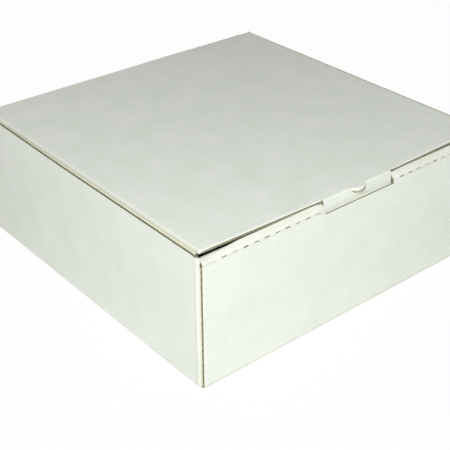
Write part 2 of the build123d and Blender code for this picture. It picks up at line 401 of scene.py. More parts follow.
class Plan:
    """The sizes and fold lines of the box."""

    # Bends of the spine, by number.
    INNER_CREASE, OUTER_CREASE, FRONT_FOLD, BACK_FOLD, HINGE, TAB_FOLD = 1, 3, 4, 5, 6, 7

    def __init__(self, scene):
        self.board = board = scene.cake_box_board
        self.tray = tray = scene.cake_box_tray
        self.lid = lid = scene.cake_box_lid
        self.mid = board.thickness / 2
        self.bend_mid = board.crease_radius + self.mid - board.crease_pinch
        self.bend_out = self.bend_mid + self.mid
        self.pinch_steps = np.arange(1, PINCH_LINES + 1) / PINCH_LINES * board.pinch_reach
        self.panel_gap = board.thickness + board.fit_gap
        self.front = -tray.depth / 2
        self.back = tray.depth / 2
        self.strip_half = tray.width / 2 - tray.panel_side_gap
        self.bottom_half = tray.width / 2 - self.bend_out
        self.lid_half = lid.width / 2
        self.lid_mid = lid.height - self.mid
        self.row_step = board.flute_pitch / ROWS_IN_FLUTE
        self.spine = self.folded_spine()
        self.tab_fold = self.spine.bend(self.TAB_FOLD)
        self.tab_root = self.front + lid.tab_setback + self.bend_out
        self.lid_front = self.on_lid(self.front + lid.setback)
        self.relief = self.on_lid(self.back - lid.rear_relief)
        self.flap_rear = self.on_lid(self.back - lid.flap_rear)
        self.flap_front = self.on_lid(self.front + lid.flap_front)
        dents = np.random.default_rng(board.dent_seed)
        self.dent_waves = dents.uniform(LONGEST_DENTS, SHORTEST_DENTS, DENT_WAVES)
        self.dent_turns = dents.uniform(0, pi, DENT_WAVES)
        self.dent_phases = dents.uniform(0, 2 * pi, DENT_WAVES)

    def folded_spine(self):
        """From the foot of the inner front panel, round the box and on to the tip of the tab."""
        tray, lid = self.tray, self.lid
        outer = self.front + self.mid
        inner = self.front + tray.front_wall_depth - self.mid
        spring = lid.height - tray.front_crease_drop - self.mid * np.tan(pi / 8)
        top = lid.height - self.board.thickness - tray.roll_clearance - self.mid
        rise = top - spring
        tab = self.front + lid.tab_setback + self.mid
        corners = [
            (inner, tray.lock_recess),
            (inner, spring),
            (inner - rise, top),
            (outer + rise, top),
            (outer, spring),
            (outer, self.mid),
            (self.back - self.mid, self.mid),
            (self.back - self.mid, self.lid_mid),
            (tab, self.lid_mid),
            (tab, lid.height - lid.tab_length),
        ]
        radii = np.full(len(corners) - 2, self.bend_mid)
        radii[self.HINGE] = self.board.crease_radius + self.mid
        return FoldLine(corners, radii)

    def on_front(self, z):
        """Place along the spine of a height on the outer front panel."""
        return self.spine.bend(self.FRONT_FOLD)[0] - (z - self.bend_out)

    def on_bottom(self, y):
        return self.spine.bend(self.FRONT_FOLD)[1] + y - (self.front + self.bend_out)

    def on_lid(self, y):
        return self.tab_fold[0] + self.tab_root - y

    def lid_y(self, across):
        return self.on_lid(0) - across

    def front_cut(self, from_middle):
        """Place along the spine of the lid's slanting front edge, so far from its middle."""
        lid = self.lid
        root = lid.tab_width / 2
        share = np.clip((from_middle - root) / (self.lid_half - root), 0, 1)
        return self.on_lid(self.front + lid.setback + lid.front_taper * share)

    def front_crush(self, from_middle):
        """How far the outer liner folds over at the lid's front edge, most at the side folds."""
        flat = self.lid_half - self.bend_out
        share = smooth(flat - self.board.thickness, flat, from_middle)
        return self.board.hard_crush + (self.lid.corner_crush - self.board.hard_crush) * share

    def slanted(self, across, from_middle):
        """Lid rows drawn back to the slanting edge, from the front end of the flaps on."""
        start = self.flap_front
        share = np.clip((across - start) / (self.lid_front - start), 0, None)
        drawn = start + share * (self.front_cut(from_middle) - start)
        return np.where(across > start, drawn, across)

    def dent(self, along, across):
        """Long shallow hollows, the same for all three plies."""
        total = 0
        for wave, turn, phase in zip(self.dent_waves, self.dent_turns, self.dent_phases):
            total = total + np.sin(wave * (along * np.cos(turn) + across * np.sin(turn)) + phase)
        return self.board.dent * (0.5 + total / (2 * DENT_WAVES))

    def plies(self, panel):
        """Heights of the three plies' faces over the board's middle, by name."""
        board = self.board
        along, across = panel.blank
        dent = self.dent(along, across)
        wave = 2 * pi * (across - self.lid_front) / board.flute_pitch
        sink = board.washboard / 2
        outer = self.mid - dent - panel.outer_crush - sink * (1 - np.sin(wave))
        inner = -self.mid - dent + panel.inner_crush + sink * (1 + np.sin(wave))
        middle = (outer + inner) / 2
        swing = np.maximum((outer - inner) / 2 - board.liner - board.medium / 2, 0)
        medium = middle + swing * np.sin(wave)
        return {
            "outer_liner": (outer, outer - board.liner),
            "inner_liner": (inner + board.liner, inner),
            "fluting": (medium + board.medium / 2, medium - board.medium / 2),
        }

    def spine_place(self, along, across, out):
        y, z = self.spine.at(across, out)
        return np.stack([along, y, z], -1)

    def lid_place(self, along, across, out):
        return np.stack([along, self.lid_y(across), self.lid_mid + out], -1)


def front_panel(plan):
    """Inner front panel, roll-over and outer front panel, with slits, notch and locking tabs."""
    tray, board, spine = plan.tray, plan.board, plan.spine
    half = plan.strip_half
    first = tray.notch_width / 2 + tray.slit_start
    last = half - tray.slit_end_margin - tray.slit_length
    slits = np.arange(first, last + WELD, tray.slit_pitch)
    slit_ends = np.concatenate([slits + place * tray.slit_length for place in SLIT_SHARES])
    notch_half = tray.notch_width / 2
    lock_ends = [tray.lock_spacing / 2 + side * tray.lock_width / 2 for side in (-1, 1)]
    edge = half - towards_edge(board.crush_reach)
    right = np.concatenate([slit_ends, [notch_half], lock_ends, edge])
    along = even_lines(-half, half, BROAD_STEP, mirrored(right))

    foot = plan.board.thickness + plan.board.fit_gap - tray.lock_recess
    notch_floor = plan.on_front(plan.lid.height - tray.front_crease_drop - tray.notch_drop)
    notch_top = spine.bend(plan.INNER_CREASE)[0]
    creases = [spine.middle(plan.INNER_CREASE), spine.middle(plan.OUTER_CREASE)]
    opening = tray.slit_width / 2
    breaks = [foot, notch_floor, *(notch_floor + towards_edge(board.lip_reach))]
    breaks += [crease + side * opening for crease in creases for side in (-1, 0, 1)]
    low, high = 0, spine.bend(plan.FRONT_FOLD)[1]
    across = spine.lines(low, high, plan.row_step, breaks)

    panel = Panel(plan.spine_place, along, across)
    x, w = panel.cell_along, panel.cell_across
    in_lock = np.abs(np.abs(x) - tray.lock_spacing / 2) < tray.lock_width / 2
    panel.keep &= (w > foot) | in_lock
    panel.keep &= ~((np.abs(x) < notch_half) & (w > notch_top) & (w < notch_floor))
    half_slit = tray.slit_length / 2
    centres = np.concatenate([-half_slit - slits[::-1], slits + half_slit])
    tight = np.random.default_rng(tray.slit_seed).uniform(0, tray.slit_closing, len(centres))
    tight[[0, -1]] = tray.slit_end_closing
    for crease in creases:
        near = np.abs(panel.across - crease) < opening + WELD
        for centre, closed in zip(centres, tight):
            offset = (panel.along - centre) / half_slit
            shut = closed + (1 - closed) * tray.slit_taper * offset**2
            closing = np.where(near & (np.abs(offset) < 1 + WELD), shut, 0)
            panel.across += (crease - panel.across) * closing
            panel.keep &= ~((np.abs(x - centre) < half_slit) & (np.abs(w - crease) < opening))

    panel.pinch(spine.from_bends(panel.across), board, FRONT_PAINTED_SHADE)
    beside = np.maximum(np.abs(panel.along) - notch_half, 0)
    beyond = np.maximum(panel.across - notch_floor, notch_top - panel.across)
    from_notch = np.hypot(beside, np.maximum(beyond, 0))
    panel.crush(from_notch, 0, board.lip_crush, board.lip_reach)
    from_cut = np.where(panel.across < notch_floor - WELD, beside, board.lip_reach)
    panel.crush(from_cut, board.hard_crush, 0, board.lip_reach)
    panel.cut(half - np.abs(panel.along), board)
    return panel


def bottom_panel(plan):
    """Bottom between the side folds, with the two slots for the locking tabs."""
    tray, board = plan.tray, plan.board
    slot_half = tray.lock_width / 2 + board.fit_gap
    ends = [tray.lock_spacing / 2 + side * slot_half for side in (-1, 1)]
    half = plan.bottom_half
    right = np.concatenate([ends, half - plan.pinch_steps])
    along = even_lines(-half, half, BROAD_STEP, mirrored(right))
    slot = slot_zone(plan)
    low, high = plan.spine.bend(plan.FRONT_FOLD)[1], plan.spine.bend(plan.BACK_FOLD)[0]
    across = plan.spine.lines(low, high, plan.row_step, [*slot, *straight_side(plan)])
    panel = Panel(plan.spine_place, along, across)
    in_slot = np.abs(np.abs(panel.cell_along) - tray.lock_spacing / 2) < slot_half
    panel.keep &= ~(in_slot & (panel.cell_across > slot[0]) & (panel.cell_across < slot[1]))
    from_sides = half - np.abs(panel.along)
    panel.pinch(np.minimum(plan.spine.from_bends(panel.across), from_sides), board)
    return panel


def slot_zone(plan):
    """Front and back of the locking slots, along the spine."""
    back = plan.front + plan.tray.front_wall_depth + plan.board.fit_gap
    return plan.on_bottom(back - plan.board.thickness - 2 * plan.board.fit_gap), plan.on_bottom(back)


def straight_side(plan):
    """Front and back end of a side wall's straight stretch, along the spine."""
    inset = plan.panel_gap + plan.bend_out
    return plan.on_bottom(plan.front + inset), plan.on_bottom(plan.back - inset)


def back_panel(plan):
    board = plan.board
    half = plan.strip_half
    edge = half - towards_edge(board.crush_reach)
    along = even_lines(-half, half, BROAD_STEP, mirrored(edge))
    low = plan.spine.bend(plan.BACK_FOLD)[0]
    across = plan.spine.lines(low, hinge_zone(plan)[0], plan.row_step)
    panel = Panel(plan.spine_place, along, across)
    panel.pinch(plan.spine.from_bends(panel.across), board)
    panel.cut(half - np.abs(panel.along), board)
    return panel


def hinge_zone(plan):
    """Where the crease piece starts on the back wall and ends on the lid, along the spine."""
    start, end = plan.spine.bend(plan.HINGE)
    return start - plan.board.thickness, end + plan.board.thickness


def side_panel(plan, side):
    """A side wall with its fold to the bottom and the dust flaps at both its ends."""
    tray, board = plan.tray, plan.board
    wall = side * (tray.width / 2 - plan.mid)
    tip = side * (tray.width / 2 - tray.dust_flap_length)
    near = plan.front + plan.panel_gap + plan.mid
    far = plan.back - plan.panel_gap - plan.mid
    straight = straight_side(plan)
    flap_run = abs(wall - tip) - plan.bend_mid
    start = straight[0] - plan.bend_mid * pi / 2 - flap_run
    ring = FoldLine([(tip, near), (wall, near), (wall, far), (tip, far)], plan.bend_mid, start)
    inner_end = 2 * plan.bend_out
    top = tray.side_height - tray.right_drop * (side > 0)
    profile = FoldLine([(0, top), (0, plan.mid), (inner_end, plan.mid)], plan.bend_mid)

    def place(along, across, out):
        inward, z = profile.at(along, out)
        x, y = ring.at(across, -side * inward)
        return np.stack([x, y, z], -1)

    flap_top = tray.dust_flap_drop
    flap_foot = top - plan.bend_out
    taper = tray.dust_flap_taper
    lip = towards_edge(board.lip_reach)
    fold, fold_end = profile.bend(0)
    along = profile.lines(
        0, fold_end, BROAD_STEP,
        [*lip, *(flap_top + lip), flap_top + taper, flap_foot - taper, flap_foot,
         *(fold - plan.pinch_steps)],
    )
    tips = towards_edge(board.crush_reach)
    across = ring.lines(
        ring.starts[0], ring.end, plan.row_step,
        [*slot_zone(plan), *straight, *(ring.starts[0] + tips), *(ring.end - tips)],
    )
    panel = Panel(place, along, across)
    front_root, back_root = ring.bend(0)[0], ring.bend(1)[1]
    beyond = (panel.cell_across < front_root) | (panel.cell_across > back_root)
    in_flap = (panel.cell_along > flap_top) & (panel.cell_along < flap_foot)
    panel.keep &= ~beyond | in_flap
    depth = np.maximum(flap_top + taper - panel.along, panel.along - (flap_foot - taper))
    shorter = 1 - np.clip(depth, 0, taper) / flap_run
    for root, flap in (
        (front_root, panel.across < front_root),
        (back_root, panel.across > back_root),
    ):
        panel.across = np.where(flap, root + (panel.across - root) * shorter, panel.across)

    panel.pinch(profile.from_bends(panel.along), board)
    panel.pinch(ring.from_bends(panel.across), board, CORNER_PAINTED_SHADE)
    on_flap = (panel.across < front_root + WELD) | (panel.across > back_root - WELD)
    wall_top = np.where(on_flap, board.lip_reach, panel.along)
    panel.crush(wall_top, 0, board.lip_crush, board.lip_reach)
    flap_edge = np.where(on_flap, np.abs(panel.along - flap_top), board.lip_reach)
    panel.cut(flap_edge, board)
    panel.blank = (side * (plan.bottom_half + fold_end - panel.along), panel.across)
    return panel


def wall_lean(plan, points):
    """How far each point moves with the leaning side walls, along x."""
    tray = plan.tray
    x, y, z = points.T
    left = smooth(LEFT_LEAN_START, -tray.width / 2, x) * smooth(0, plan.back, y)
    right = smooth(RIGHT_LEAN_START, tray.width / 2, x)
    return tray.wall_lean * (left - right) * (np.clip(z, 0, 1) / tray.side_height) ** 2


def settle_tray(plan, points):
    """The side walls lean in, and the rolled front slopes evenly up to a ridge at the lid's edge."""
    tray = plan.tray
    x, y, z = points.T
    depth = y - plan.front
    past_edge = y - plan.lid_y(plan.front_cut(np.abs(x)))
    rise = tray.front_crease_drop - plan.board.thickness - tray.roll_clearance
    start = plan.strip_half - tray.roll_bulge_start
    inner = smooth(start, start - ROLL_FADE, np.abs(x))
    ridge = tray.roll_end_ridge + (tray.roll_ridge - tray.roll_end_ridge) * inner
    up = (depth - rise) / (ridge - rise)
    swell = inner * np.clip(1 - np.abs(up - 1), 0, 1) * (1 - smooth(*LID_PRESS, past_edge))
    left = (tray.front_wall_depth - depth) / (tray.front_wall_depth - (2 * ridge - rise))
    sag = tray.roll_sag * np.clip(np.minimum(depth / rise, 1 - up), 0, 1)
    sag += tray.roll_fall * np.clip(np.minimum(up - 1, left), 0, 1)
    high = smooth(tray.side_height / 3, tray.side_height - ROLL_FOOT, z)
    climb = (depth + z - (plan.lid.height - tray.front_crease_drop)) / (2 * rise)
    slope = smooth(*SQUARE_SHARES[:2], climb) * (1 - smooth(*SQUARE_SHARES[1:], climb))
    end = 1 - smooth(0, tray.roll_square_reach, plan.strip_half - np.abs(x))
    out = tray.roll_square * slope * end * (depth < tray.front_wall_depth / 2)
    z = z + (tray.roll_bulge * swell - sag) * high + out * np.sqrt(0.5)
    y = np.maximum(y - out * np.sqrt(0.5), np.minimum(y, plan.front))
    return np.stack([x + wall_lean(plan, points), y, z], -1)


def settle_lid(plan, points):
    """The side flaps and the tab spring out until they press on the walls."""
    lid = plan.lid
    x, y, z = points.T
    flat = plan.lid_half - plan.bend_out
    outside = smooth(flat - FLAP_RAMP, plan.lid_half - plan.mid, np.abs(x))
    down = smooth(lid.height - plan.bend_out, lid.height - plan.bend_out - lid.flap_bow, z)
    in_tab = 1 - smooth(lid.tab_width / 2, lid.tab_width / 2 + TAB_RAMP, np.abs(x))
    lean = smooth(lid.height - plan.board.thickness, lid.height - lid.tab_length / 2, z)
    y = y - lid.tab_lean * in_tab * lean
    spring = np.sign(x) * lid.flap_spring + wall_lean(plan, points)
    return np.stack([x + spring * outside * down, y, z], -1)


def lid_panel(plan):
    """Top of the lid, without the tab and the side folds."""
    lid, board = plan.lid, plan.board
    half = plan.lid_half
    flat = half - plan.bend_out
    breaks = tab_lines(plan)
    beside_tab = lid.tab_width / 2 + np.linspace(0, 1, EDGE_LINES)[1:] * board.hard_reach
    right = np.concatenate([[flat], flat - plan.pinch_steps, beside_tab])
    along = even_lines(-half, half, LID_STEP, [*mirrored(right), *breaks])
    root = plan.tab_fold[0]
    panel = Panel(plan.lid_place, along, lid_rows(plan, hinge_zone(plan)[1]))
    x, w = panel.cell_along, panel.cell_across
    panel.keep &= (np.abs(x) < flat) | (w < plan.relief)
    panel.keep &= (np.abs(x) > lid.tab_width / 2) | (w < root)
    from_middle = np.abs(panel.along)
    panel.across = plan.slanted(panel.across, from_middle)
    panel.blank = (panel.along, panel.across)
    from_tab = from_middle - lid.tab_width / 2
    to_fold = np.hypot(np.maximum(root - panel.across, 0), np.maximum(from_tab, 0))
    panel.pinch(to_fold, board)
    panel.pinch(np.maximum(flat - from_middle, 0), board, 0)
    kept_up = np.clip(board.hard_reach - from_tab, 0, board.hard_reach)
    from_front = plan.front_cut(from_middle) - panel.across + kept_up
    panel.crush(from_front, plan.front_crush(from_middle), board.hard_crush, board.hard_reach)
    return panel


def lid_rows(plan, start):
    """Grid lines across the lid's flutes, from start to its raw front edge."""
    edge = plan.lid_front - towards_edge(plan.board.hard_reach)
    marks = [plan.relief, plan.flap_rear, plan.flap_front, plan.tab_fold[0], *edge]
    return even_lines(start, plan.lid_front, plan.row_step, marks)


def tab_lines(plan):
    """Grid lines along the flutes that the lid shares with its tab and tongue."""
    lid = plan.lid
    hole = lid.tongue_width / 2 + lid.tongue_gap
    edge = lid.tab_width / 2 - towards_edge(lid.tab_corner)
    return distinct([*tongue_lines(plan), *mirrored([hole, *edge])])


def tongue_lines(plan):
    half = plan.lid.tongue_width / 2
    side = half - towards_edge(plan.lid.tongue_wrap)
    return even_lines(-half, half, TONGUE_STEP, mirrored(side))


def lid_side_panel(plan, side):
    """The lid's side fold and the flap that tucks inside the side wall."""
    lid, board = plan.lid, plan.board
    seam = plan.lid_half - plan.bend_out
    face = plan.bend_out - plan.mid
    corners = [(0, plan.lid_mid), (face, plan.lid_mid), (face, lid.height - lid.flap_height)]
    profile = FoldLine(corners, plan.bend_mid)

    def place(along, across, out):
        outward, z = profile.at(along, -out)
        return np.stack([side * (seam + outward), plan.lid_y(across), z], -1)

    foot, panel_top = profile.end, profile.bend(0)[1]
    marks = [*(panel_top + plan.pinch_steps), *(foot - towards_edge(lid.flap_corner))]
    along = profile.lines(0, foot, FLAP_STEP, marks)
    panel = Panel(place, along, lid_rows(plan, plan.relief))
    from_middle = seam + panel.along
    panel.across = plan.slanted(panel.across, from_middle)
    rear, front = plan.flap_rear, plan.flap_front
    outside = (panel.cell_across < rear) | (panel.cell_across > front)
    panel.keep &= ~(outside & (panel.cell_along > panel_top))
    down = np.clip((panel.along - panel_top) / (foot - panel_top), 0, 1)
    rounding = corner_cut(foot - panel.along, lid.flap_corner)
    rear_edge = rear + lid.flap_rear_taper * down + rounding
    front_edge = front - lid.flap_front_taper * down - rounding
    share = (panel.across - rear) / (front - rear)
    inside = (share > -WELD) & (share < 1 + WELD) & (panel.along > panel_top + WELD)
    panel.across = np.where(inside, rear_edge + share * (front_edge - rear_edge), panel.across)
    panel.pinch(profile.from_bends(panel.along), board, 0)
    fading = smooth(*SIDE_PAINTED_SHADE_END, panel.along - panel_top)
    # Painted shade on the steep lower half of the side fold, where it dips into the gap by the wall.
    panel.painted_shade = smooth(*profile.bend(0), panel.along) * (1 - fading)
    from_front = plan.front_cut(from_middle) - panel.across
    panel.crush(from_front, plan.front_crush(from_middle), board.hard_crush, board.hard_reach)
    low = panel.along > panel_top + WELD
    from_end = np.where(low, np.minimum(front_edge - panel.across, panel.across - rear_edge), 1)
    from_edge = np.minimum(from_end, foot - panel.along)
    panel.cut(from_edge, board)
    panel.blank = (side * (seam + panel.along), panel.across)
    return panel


def tab_panel(plan):
    """The tuck tab below its fold, with the hole that the tongue leaves."""
    lid, board, spine = plan.lid, plan.board, plan.spine
    half = lid.tab_width / 2
    hole = lid.tongue_width / 2 + lid.tongue_gap
    hole_tip = lid.tongue_tip_width / 2 + lid.tongue_gap
    root, fold_end = plan.tab_fold
    hole_foot = fold_end + lid.tongue_hole_depth - plan.bend_out
    tips = spine.end - towards_edge(lid.tab_corner)
    along = even_lines(-half, half, FLAP_STEP, tab_lines(plan))
    across = spine.lines(root, spine.end, plan.row_step, [hole_foot, *tips])
    panel = Panel(plan.spine_place, along, across)
    in_hole = (np.abs(panel.cell_along) < hole) & (panel.cell_across < hole_foot)
    panel.keep &= ~in_hole
    edges = half - corner_cut(spine.end - across, lid.tab_corner)
    narrowing = np.clip((across - fold_end) / (hole_foot - fold_end), 0, 1)
    holes = hole + (hole_tip - hole) * narrowing
    rows = []
    for edge, opening in zip(edges, holes):
        rows.append(np.interp(along, [-half, -hole, hole, half], [-edge, -opening, opening, edge]))
    panel.along = np.array(rows)
    panel.pinch(spine.from_bends(panel.across), board)
    panel.cut(spine.end - panel.across, board)
    return panel


def tongue_panel(plan):
    """The finger tongue, which stays in the lid's plane when the tab is folded down."""
    lid, board = plan.lid, plan.board
    half, tip_half = lid.tongue_width / 2, lid.tongue_tip_width / 2
    root = plan.tab_fold[0]
    crease = plan.on_lid(plan.front + lid.tab_setback)
    tip = crease + lid.tongue_reach
    along = tongue_lines(plan)
    corners = tip - towards_edge(lid.tongue_corner)
    across = even_lines(root, tip, TONGUE_ROW_STEP, [crease, *corners])
    panel = Panel(plan.lid_place, along, across)
    narrowing = np.clip((across - crease) / (tip - crease), 0, 1)
    widths = half + (tip_half - half) * narrowing - corner_cut(tip - across, lid.tongue_corner)
    from_side = widths[:, None] * (1 - np.abs(panel.along) / half)
    panel.along = panel.along * (widths / half)[:, None]
    past_root = np.maximum(crease - panel.across, 0)
    from_edge = np.hypot(np.minimum(from_side, tip - panel.across), past_root)
    uneven = 1 - lid.tongue_clean * smooth(0, tip_half, panel.along)
    panel.crush(from_edge, lid.tongue_crush * uneven, board.cut_crush, lid.tongue_wrap)
    panel.pinch(panel.across - root, board, 0)
    # Painted shade on the tongue's rounded-over edge.
    panel.painted_shade = TONGUE_PAINTED_SHADE * rounded_over(from_edge, lid.tongue_wrap)
    return panel


def crease_panel(plan):
    """The fold between back wall and lid, as wide as each of them on its own side."""
    half, lid_half = plan.strip_half, plan.lid_half
    low, high = hinge_zone(plan)
    middle = plan.spine.middle(plan.HINGE)
    along = even_lines(-half, half, CREASE_STEP, mirrored([lid_half]))
    across = plan.spine.lines(low, high, plan.row_step, [middle])
    panel = Panel(plan.spine_place, along, across)
    panel.keep &= (np.abs(panel.cell_along) < lid_half) | (panel.cell_across < middle)
    panel.pinch(plan.spine.from_bends(panel.across), plan.board)
    return panel


def skin(panel, high, low):
    """A closed skin over a panel's cells: points, faces and which side each face is on."""
    rows, columns = panel.along.shape
    sides = [panel.place(panel.along, panel.across, out).reshape(-1, 3) for out in (high, low)]
    count = rows * columns
    index = np.arange(count).reshape(rows, columns)
    row, column = np.nonzero(panel.keep)
    top = np.stack(
        [index[row, column], index[row, column + 1], index[row + 1, column + 1],
         index[row + 1, column]], 1,
    )
    faces = [top, top[:, ::-1] + count]
    padded = np.pad(panel.keep, 1)
    for down, across, start, end in (
        (-1, 0, (0, 0), (0, 1)),
        (0, 1, (0, 1), (1, 1)),
        (1, 0, (1, 1), (1, 0)),
        (0, -1, (1, 0), (0, 0)),
    ):
        beside = padded[1 + down:rows + down, 1 + across:columns + across]
        row, column = np.nonzero(panel.keep & ~beside)
        first = index[row + start[0], column + start[1]]
        second = index[row + end[0], column + end[1]]
        faces.append(np.stack([second, first, first + count, second + count], 1))
    side = np.repeat([0, 1, 2], [len(top), len(top), sum(len(f) for f in faces[2:])])
    points = np.concatenate(sides)
    corners = sides[0][top]
    normals = np.cross(corners[:, 2] - corners[:, 0], corners[:, 3] - corners[:, 1])
    faces = np.concatenate(faces)
    if (normals * (sides[0] - sides[1])[top[:, 0]]).sum() < 0:
        faces = faces[:, ::-1]
    # The third column carries the painted shade in the folds.
    blank = np.stack([*panel.blank, panel.painted_shade], -1).reshape(-1, 3)
    return points, faces, side, np.concatenate([blank, blank])


def joined(skins):
    """Several skins as one, with the points that they share welded and inner walls dropped."""
    points, faces, side, blank = zip(*skins)
    offsets = np.cumsum([0, *map(len, points[:-1])])
    faces = np.concatenate([made + offset for made, offset in zip(faces, offsets)])
    points, side, blank = map(np.concatenate, (points, side, blank))
    _, first, same = np.unique(
        np.round(points / WELD).astype(np.int64), axis=0, return_index=True, return_inverse=True
    )
    faces = same.reshape(-1)[faces]
    _, kind, times = np.unique(
        np.sort(faces, axis=1), axis=0, return_inverse=True, return_counts=True
    )
    once = times[kind.reshape(-1)] == 1
    faces, side = faces[once], side[once]
    used, faces = np.unique(faces, return_inverse=True)
    return points[first][used], faces.reshape(-1, 4), side, blank[first][used]


def make_piece(name, points, faces, side, blank, materials):
    """An object from a closed skin, given the materials of its outer, inner and cut faces."""
    used = list(dict.fromkeys(materials))
    slots = [used.index(material) for material in materials]
    faces = [tuple(dict.fromkeys(face)) for face in faces.tolist()]
    whole = [(face, slots[place]) for face, place in zip(faces, side) if len(face) > 2]
    mesh = bpy.data.meshes.new(name)
    mesh.from_pydata(points.tolist(), [], [face for face, _ in whole])
    for material in used:
        mesh.materials.append(material)
    mesh.polygons.foreach_set("material_index", [slot for _, slot in whole])
    mesh.polygons.foreach_set("use_smooth", [True] * len(whole))
    flat = blank * (1, 1, 0)
    mesh.attributes.new("blank", "FLOAT_VECTOR", "POINT").data.foreach_set("vector", flat.ravel())
    # Painted shade in the folds, for the liners' materials.
    mesh.attributes.new("painted_shade", "FLOAT", "POINT").data.foreach_set("value", blank[:, 2])
    mesh.set_sharp_from_angle(angle=SHARP_ANGLE)
    mesh.update()
    made = bpy.data.objects.new(name, mesh)
    bpy.context.collection.objects.link(made)
    return made


def add_node(tree, kind, settings=None, links=None):
    """Adds a shader node. Settings are its properties or input values, and links feed its inputs."""
    node = tree.nodes.new("ShaderNode" + kind)
    for name, value in (settings or {}).items():
        if isinstance(name, int) or name in node.inputs:
            node.inputs[name].default_value = value
        else:
            setattr(node, name, value)
    for name, source in (links or {}).items():
        tree.links.new(source, node.inputs[name])
    return node


def new_material(name):
    material = bpy.data.materials.new(name)
    material.use_nodes = True
    material.node_tree.nodes.clear()
    return material, material.node_tree


def liner_material(name, light, shade, fold_shade_colour, pitch, roughness, sheen):
    """Machine-made liner paper on corrugated board. The eye sees faint lines where the flutes' crests
    print through, cloudy patches of thicker and thinner pulp and short fibres. In the folds a darker,
    warmer colour is multiplied in as painted shade."""
    material, tree = new_material(name)
    blank = add_node(tree, "Attribute", {"attribute_name": "blank"}).outputs["Vector"]
    cloud = add_node(
        tree, "TexNoise", {"Scale": 1 / CLOUD_SIZE, "Detail": 4, "Roughness": 0.6}, {"Vector": blank}
    )
    grain = add_node(tree, "Mapping", {"Scale": FIBRE_STRETCH}, {"Vector": blank})
    fibre = add_node(
        tree, "TexNoise", {"Scale": 1 / FIBRE_SIZE, "Detail": 3, "Roughness": 0.7},
        {"Vector": grain.outputs["Vector"]},
    )
    lines = add_node(
        tree, "TexWave",
        {"wave_type": "BANDS", "bands_direction": "Y", "Scale": 2 * pi / WAVE_RATE / pitch,
         "Distortion": 0.6, "Detail": 1, "Detail Scale": 30},
        {"Vector": blank},
    )
    marks = cloud.outputs["Fac"]
    for strength, pattern in ((FLUTE_LINES, lines), (FIBRE_MARKS, fibre)):
        marks = add_node(
            tree, "Math", {"operation": "MULTIPLY_ADD", 1: strength},
            {0: pattern.outputs["Fac"], 2: marks},
        ).outputs[0]
    tone = add_node(tree, "MapRange", {"From Min": 0.5, "From Max": 1.15}, {"Value": marks})
    base = add_node(
        tree, "Mix", {"data_type": "RGBA", 6: (*shade, 1), 7: (*light, 1)},
        {"Factor": tone.outputs["Result"]},
    )
    # Painted shade: the crease colour is multiplied in where the paper is folded.
    painted_shade = add_node(tree, "Attribute", {"attribute_name": "painted_shade"}).outputs["Fac"]
    fold_shaded = add_node(
        tree, "Mix", {"data_type": "RGBA", "blend_type": "MULTIPLY", 7: (*fold_shade_colour, 1)},
        {"Factor": painted_shade, 6: base.outputs[2]},
    )
    bump = add_node(
        tree, "Bump", {"Strength": 0.12, "Distance": 0.0002}, {"Height": fibre.outputs["Fac"]}
    )
    shader = add_node(
        tree, "BsdfPrincipled",
        {"Roughness": roughness, "Specular IOR Level": sheen, "IOR": 1.5},
        {"Base Color": fold_shaded.outputs[2], "Normal": bump.outputs["Normal"]},
    )
    add_node(tree, "OutputMaterial", None, {"Surface": shader.outputs["BSDF"]})
    return material


def cut_paper_material(name, tone, patch):
    """Uncoated recycled paper as a knife leaves it: dull, with soft blotches of darker fibre."""
    material, tree = new_material(name)
    blank = add_node(tree, "Attribute", {"attribute_name": "blank"}).outputs["Vector"]
    noise = add_node(
        tree, "TexNoise", {"Scale": 1 / patch, "Detail": 3, "Roughness": 0.6}, {"Vector": blank}
    )
    dark, light = [(*(min(amount * c, 1) for c in tone), 1) for amount in CUT_TONES]
    base = add_node(
        tree, "Mix", {"data_type": "RGBA", 6: dark, 7: light}, {"Factor": noise.outputs["Fac"]}
    )
    shader = add_node(
        tree, "BsdfPrincipled", {"Roughness": 0.9, "Specular IOR Level": 0.2},
        {"Base Color": base.outputs[2]},
    )
    add_node(tree, "OutputMaterial", None, {"Surface": shader.outputs["BSDF"]})
    return material


def board_materials(scene):
    """The board's papers, made once, by the ply whose three sides they cover."""
    colours, pitch = scene.cake_box_colours, scene.cake_box_board.flute_pitch
    made = bpy.data.materials
    if "coated_white_liner" not in made:
        liner_material(
            "coated_white_liner", colours.outer_liner, colours.outer_shade, colours.crease, pitch,
            roughness=0.55, sheen=0.35,
        )
        liner_material(
            "uncoated_white_liner", colours.inner_liner, colours.inner_shade, colours.crease, pitch,
            roughness=0.8, sheen=0.25,
        )
        cut_paper_material("die_cut_liner_edge", colours.core, CUT_PATCH)
        cut_paper_material("recycled_fluting_medium", colours.medium, FLUTE_PATCH)
    outer, inner = made["coated_white_liner"], made["uncoated_white_liner"]
    core, medium = made["die_cut_liner_edge"], made["recycled_fluting_medium"]
    return {
        "outer_liner": (outer, core, core),
        "inner_liner": (core, inner, core),
        "fluting": (medium, medium, medium),
    }


def build_plies(plan, scene, prefix, panels, settle):
    """One object for each ply of a body of the box."""
    made = []
    for ply, sides in board_materials(scene).items():
        skins = [skin(panel, *plan.plies(panel)[ply]) for panel in panels]
        points, *rest = joined(skins)
        made.append(make_piece(f"{prefix}_{ply}", settle(plan, points), *rest, sides))
    return made


class CAKEBOX_OT_tray(bpy.types.Operator):
    """Builds the tray's three plies and lets them ride on the tray"""
    bl_idname = "cake_box.tray"
    bl_label = "Build Tray"

    def execute(self, context):
        plan = Plan(context.scene)
        panels = [front_panel(plan), bottom_panel(plan), back_panel(plan)]
        panels += [side_panel(plan, side) for side in (-1, 1)]
        plies = build_plies(plan, context.scene, "tray", panels, settle_tray)
        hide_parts("tray")
        for ply in plies:
            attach(ply, "tray")
        return {"FINISHED"}


